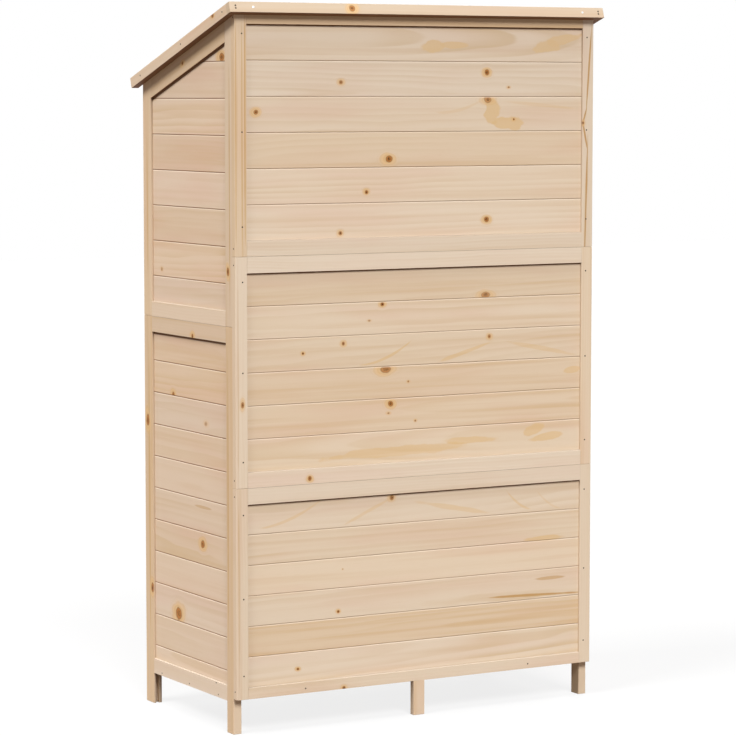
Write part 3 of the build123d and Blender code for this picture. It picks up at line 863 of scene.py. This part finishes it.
# Grit-faced roof felt
felt = {
    "tar": (0.030, 0.031, 0.032),
    "grit": (0.20, 0.205, 0.20),
    "pale": (0.36, 0.36, 0.34),
    "grain": 620.0,                    # scale
    "worn": (9.0, 5.0),                # scale, detail
    "cover": (0.62, 0.30),             # from a grain's edge to its middle
    "gritShare": (0.5, 0.6),           # least, and what wear adds
    "paleShare": (0.70, 0.95, 0.8),    # draws from, to, share
    "rough": (0.80, 0.15),             # least, and what chance adds
    "bump": (0.9, 0.9 * mm),           # strength, height
    "gloss": 0.25,
}


def feltFinish():
    finish, wire = newFinish("roof_felt")
    place = wire.node("TexCoord", {}, {}, "Object")
    grains = wire.node("TexVoronoi", {}, {"Vector": place, "Scale": felt["grain"]}, "Distance")
    draw = wire.node("SeparateColor", {}, {"Color": grains.other("Color")})
    worn = place.speckle(*felt["worn"]).spread(*felt["gritShare"])
    cover = grains.ease(*felt["cover"])
    colour = wire.mix(cover * worn, felt["tar"], felt["grit"])
    colour = colour.paint(felt["pale"], cover * draw.band(*felt["paleShare"]))
    relief = bump(wire, cover, *felt["bump"])
    closeFinish(wire, colour, draw.spread(*felt["rough"]), relief, {"Specular IOR Level": felt["gloss"]})
    return finish


dress("roof_felt", feltFinish())
print("steel and felt dressed")


# Nails and screws
def facing(spot, normal):
    # a frame at the spot with its z axis along the normal
    steep = 0.9    # such a normal points up or down
    side = zAxis if abs(normal.z) < steep else xAxis
    right = side.cross(normal).normalized()
    matrix = Matrix((right, normal.cross(right), normal)).transposed().to_4x4()
    matrix.translation = spot
    return matrix


def ring(mesh, matrix, radius, height, segments):
    turns = [2 * math.pi * i / segments for i in range(segments)]
    places = [Vector((radius * math.cos(turn), radius * math.sin(turn), height)) for turn in turns]
    return [mesh.verts.new(matrix @ place) for place in places]


def wall(mesh, lower, upper):
    for i in range(len(lower)):
        j = (i + 1) % len(lower)
        mesh.faces.new((lower[i], lower[j], upper[j], upper[i]))


def meshPiece(name, mesh, finish, body):
    bmesh.ops.recalc_face_normals(mesh, faces=mesh.faces)
    data = bpy.data.meshes.new(name)
    mesh.to_mesh(data)
    mesh.free()
    data.materials.append(finish)
    piece = newObject(name, data)
    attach(piece, body)


# rim, flat and crown are shares of the head's size
nailHead = {"segments": 12, "sunk": 0.6 * mm, "rim": 0.4, "flat": 0.72, "crown": 1.1}


def nails(name, body, spots, radius, proud, finish):
    # low domed heads on a short stub sunk in the wood
    mesh = bmesh.new()
    profile = [(radius, -nailHead["sunk"]), (radius, nailHead["rim"] * proud),
               (nailHead["flat"] * radius, proud)]
    for spot, normal in spots:
        matrix = facing(spot, normal)
        loops = [ring(mesh, matrix, r, h, nailHead["segments"]) for r, h in profile]
        mesh.faces.new(loops[0][::-1])
        for lower, upper in zip(loops, loops[1:]):
            wall(mesh, lower, upper)
        crown = mesh.verts.new(matrix @ Vector((0, 0, nailHead["crown"] * proud)))
        for i in range(len(loops[-1])):
            mesh.faces.new((loops[-1][i - 1], loops[-1][i], crown))
    meshPiece(name, mesh, finish, body)


# shares of the head's size; arm, half, deep and taper are its cross
screwHead = {"segments": 24, "sunk": 0.5 * mm, "rim": 0.5, "flat": 0.86,
             "arm": 0.55, "half": 0.13, "deep": 0.35, "taper": 0.8}


def crossScrews(name, body, spots, radius, proud):
    # flat heads with a cross-shaped pit
    mesh = bmesh.new()
    count = screwHead["segments"]
    arm, half, deep = (screwHead[key] * radius for key in ("arm", "half", "deep"))
    quarter = [(arm, -half), (arm, half), (half, half)]
    cross = []
    for i in range(4):
        turn = Matrix.Rotation(math.pi / 2 * i, 2)
        cross += [turn @ Vector(corner) for corner in quarter]
    for spot, normal in spots:
        matrix = facing(spot, normal)
        foot = ring(mesh, matrix, radius, -screwHead["sunk"], count)
        rim = ring(mesh, matrix, radius, screwHead["rim"] * proud, count)
        top = ring(mesh, matrix, screwHead["flat"] * radius, proud, count)
        mesh.faces.new(foot[::-1])
        wall(mesh, foot, rim)
        wall(mesh, rim, top)
        mouth = [mesh.verts.new(matrix @ Vector((*corner, proud))) for corner in cross]
        bottom = [corner * screwHead["taper"] for corner in cross]
        pit = [mesh.verts.new(matrix @ Vector((*corner, proud - deep))) for corner in bottom]
        wall(mesh, pit, mouth)
        mesh.faces.new(pit)
        edges = [mesh.edges.get((loop[i - 1], loop[i])) for loop in (top, mouth) for i in range(len(loop))]
        bmesh.ops.triangle_fill(mesh, use_beauty=True, use_dissolve=False, edges=edges, normal=normal)
    meshPiece(name, mesh, zinc, body)


wallNails = {
    "radius": 2.0 * mm,
    "proud": 0.25 * mm,
    "inset": 20 * mm,               # from the rear stile's outer edge
    # on each rear stile: from its foot, off its middle and from its top
    "heights": {"lower": (59 * mm, -12 * mm, 66 * mm), "middle": (65 * mm, 0.0, 62 * mm),
                "upper": (73 * mm, 3 * mm, 59 * mm)},
    "fromRailEnd": 20 * mm,         # in the stile's edge, into the rail
    "foot": (331 * mm, 12 * mm),    # x and height on the lowest rail
    # y and height on the side's lowest rail
    "sideRail": [(-159 * mm, 7 * mm), (1 * mm, 7 * mm), (164 * mm, 7 * mm), (152 * mm, 35 * mm)],
}
spots = []
for level in ("lower", "middle", "upper"):
    low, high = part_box(f"rear_{level}_stiles")
    fromFoot, offMiddle, fromTop = wallNails["heights"][level]
    for sign in (1, -1):
        for z in (low.z + fromFoot, (low.z + high.z) / 2 + offMiddle, high.z - fromTop):
            spots.append((Vector((sign * (high.x - wallNails["inset"]), high.y, z)), yAxis))
        for z in (low.z + wallNails["fromRailEnd"], high.z - wallNails["fromRailEnd"]):
            spots.append((Vector((sign * high.x, (low.y + high.y) / 2, z)), xAxis * sign))
low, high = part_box("rear_lower_stiles")
footX, footZ = wallNails["foot"]
spots += [(Vector((sign * footX, high.y, low.z + footZ)), yAxis) for sign in (1, -1)]
low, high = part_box("right_side_lower_rails")
for y, lift in wallNails["sideRail"]:
    spots += [(Vector((sign * high.x, y, low.z + lift)), xAxis * sign) for sign in (1, -1)]
nails("wall_nails", "shed", spots, wallNails["radius"], wallNails["proud"], darkNail)

skirtNails = {
    "radius": 2.3 * mm,
    "proud": 0.25 * mm,
    "along": (240 * mm, 11 * mm, -224 * mm),     # y along the side skirts
    "lift": 1 * mm,                              # above the side skirts' middle
    "endX": 529 * mm,
    "pairGap": 6.5 * mm,
    "screwX": 480 * mm,
    "screwRadius": 3.2 * mm,
    "screwProud": 0.35 * mm,
}
skirtMiddle = sum(span("back_skirt", offRoof)) / 2
skirtRear = upSlope * span("back_skirt", upSlope)[1] + offRoof * skirtMiddle
spots = []
for sign in (1, -1):
    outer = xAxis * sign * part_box("right_skirt")[1].x
    for y in skirtNails["along"]:
        z = (skirtMiddle + skirtNails["lift"] - y * offRoof.y) / offRoof.z
        spots.append((outer + yAxis * y + zAxis * z, xAxis * sign))
    for step in (-0.5, 0.5):
        pair = offRoof * (step * skirtNails["pairGap"])
        spots.append((skirtRear + pair + xAxis * sign * skirtNails["endX"], upSlope))
nails("skirt_nails", "shed", spots, skirtNails["radius"], skirtNails["proud"], darkNail)
spots = [(skirtRear + xAxis * sign * skirtNails["screwX"], upSlope) for sign in (1, -1)]
nails("skirt_screws", "shed", spots, skirtNails["screwRadius"], skirtNails["screwProud"], brightScrew)

feltNails = {"inset": 12 * mm, "step": 95 * mm, "radius": 4.5 * mm, "proud": 0.7 * mm}


def nailLine(first, last):
    # even places from edge to edge of the felt
    first += feltNails["inset"]
    last -= feltNails["inset"]
    count = round((last - first) / feltNails["step"])
    return [first + (last - first) * i / count for i in range(count + 1)]


feltTop = offRoof * span("roof_felt", offRoof)[1]
across = nailLine(*span("roof_felt", xAxis))
upward = nailLine(*span("roof_felt", upSlope))
rim = [(x, run) for x in across for run in (upward[0], upward[-1])]
rim += [(x, run) for run in upward[1:-1] for x in (across[0], across[-1])]
spots = [(feltTop + xAxis * x + upSlope * run, offRoof) for x, run in rim]
nails("felt_nails", "shed", spots, feltNails["radius"], feltNails["proud"], zinc)

# Hinge and bolt screws
hinges = {"length": 60 * mm, "leaf": 1.6 * mm, "fromEdge": 6.5 * mm, "fromEnd": 11 * mm,
          "radius": 3.0 * mm, "proud": 0.4 * mm}
for side, sign in (("left", -1), ("right", 1)):
    for leaf, body, outward in (("frame_leaves", "shed", 1), ("door_leaves", f"{side}_door", -1)):
        low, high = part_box(f"{side}_hinge_{leaf}")
        edge = high.x if sign * outward > 0 else low.x
        x = edge - sign * outward * hinges["fromEdge"]
        face = high.y - hinges["leaf"]
        bottoms = (low.z, (low.z + high.z - hinges["length"]) / 2, high.z - hinges["length"])
        ends = (hinges["fromEnd"], hinges["length"] - hinges["fromEnd"])
        spots = [(Vector((x, face, bottom + end)), -yAxis) for bottom in bottoms for end in ends]
        crossScrews(f"{side}_{leaf}_screws", body, spots, hinges["radius"], hinges["proud"])

boltScrews = {"plate": 1.5 * mm, "inset": 4 * mm, "fromEnd": 10 * mm,
              "radius": 2.5 * mm, "proud": 0.4 * mm}
for name, body in (("bolt_plate", "right_door"), ("bolt_keeper", "left_door")):
    low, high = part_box(name)
    columns = [low.x + boltScrews["fromEnd"], high.x - boltScrews["fromEnd"]]
    if name == "bolt_keeper":
        columns = [(low.x + high.x) / 2]
    rows = (low.z + boltScrews["inset"], high.z - boltScrews["inset"])
    face = high.y - boltScrews["plate"]
    spots = [(Vector((x, face, z)), -yAxis) for x in columns for z in rows]
    crossScrews(f"{name}_screws", body, spots, boltScrews["radius"], boltScrews["proud"])
print("nails and screws set")

# Floor, light and camera
studio = {
    "floorSize": 40.0,
    "floorCells": 8,
    "floorDrop": 0.3 * mm,
    "floorGrey": (0.20, 0.165, 0.145, 1.0),    # for light that bounces off it
    "floorSeen": (0.62, 0.62, 0.62, 1.0),
    "floorWhite": 0.83,
    "white": (1.0, 1.0, 1.0, 1.0),
    "fillColour": (1.0, 0.88, 0.82, 1.0),
    "fill": 0.12,
    # direction to the lamp and its strength
    "lamps": {"rear_key": ((0.14, 0.70, 0.70), 3.15), "side_key": ((0.58, 0.083, 0.81), 3.19),
              "front_key": ((-0.56, -0.74, 0.37), 2.50)},
    "lampAngle": math.radians(22),
}


def seenDirectly(wire):
    path = wire.node("LightPath", {}, {}, "Is Camera Ray")
    mirrored = path.calc("MAXIMUM", path.other("Is Glossy Ray"))
    return mirrored.calc("MAXIMUM", path.other("Is Transmission Ray"))


floorMesh = bmesh.new()
cells = studio["floorCells"]
bmesh.ops.create_grid(floorMesh, x_segments=cells, y_segments=cells, size=studio["floorSize"] / 2)
floorData = bpy.data.meshes.new("studio_floor")
floorMesh.to_mesh(floorData)
floorMesh.free()
floor = newObject("studio_floor", floorData)
floor.location.z = -studio["floorDrop"]
finish, wire = newFinish("studio_floor")
dull = wire.node("BsdfDiffuse", {}, {"Color": studio["floorGrey"]})
pale = wire.node("BsdfDiffuse", {}, {"Color": studio["floorSeen"]})
white = wire.node("Emission", {}, {"Color": studio["white"], "Strength": 1.0})
seen = wire.node("MixShader", {}, {0: studio["floorWhite"], 1: pale, 2: white})
shader = wire.node("MixShader", {}, {0: seenDirectly(wire), 1: dull, 2: seen})
wire.node("OutputMaterial", {}, {"Surface": shader})
floorData.materials.append(finish)

world = bpy.data.worlds.new("studio_world")
world.use_nodes = True
world.node_tree.nodes.clear()
bpy.context.scene.world = world
wire = Wire(world.node_tree)
soft = wire.node("Background", {}, {"Color": studio["fillColour"], "Strength": studio["fill"]})
white = wire.node("Background", {}, {"Color": studio["white"], "Strength": 1.0})
shader = wire.node("MixShader", {}, {0: seenDirectly(wire), 1: soft, 2: white})
wire.node("OutputWorld", {}, {"Surface": shader})

for name, (towards, strength) in studio["lamps"].items():
    light = bpy.data.lights.new(name, "SUN")
    light.energy = strength
    light.angle = studio["lampAngle"]
    lamp = newObject(name, light)
    lamp.rotation_mode = "QUATERNION"
    lamp.rotation_quaternion = Vector(towards).to_track_quat("Z", "Y")

view = {"place": Vector((3.8848, 6.7931, 1.5783)), "look": Vector((-0.4945, -0.8645, -0.0898)),
        "lens": 146.82, "sensor": 36, "farthest": 100}
camera = bpy.data.cameras.new("camera")
camera.lens = view["lens"]
camera.sensor_width = view["sensor"]
camera.clip_end = view["farthest"]
eye = newObject("camera", camera)
eye.location = view["place"]
eye.rotation_mode = "QUATERNION"
eye.rotation_quaternion = view["look"].to_track_quat("-Z", "Y")
bpy.context.scene.camera = eye
bpy.context.scene.view_settings.view_transform = "Standard"
print("studio set")
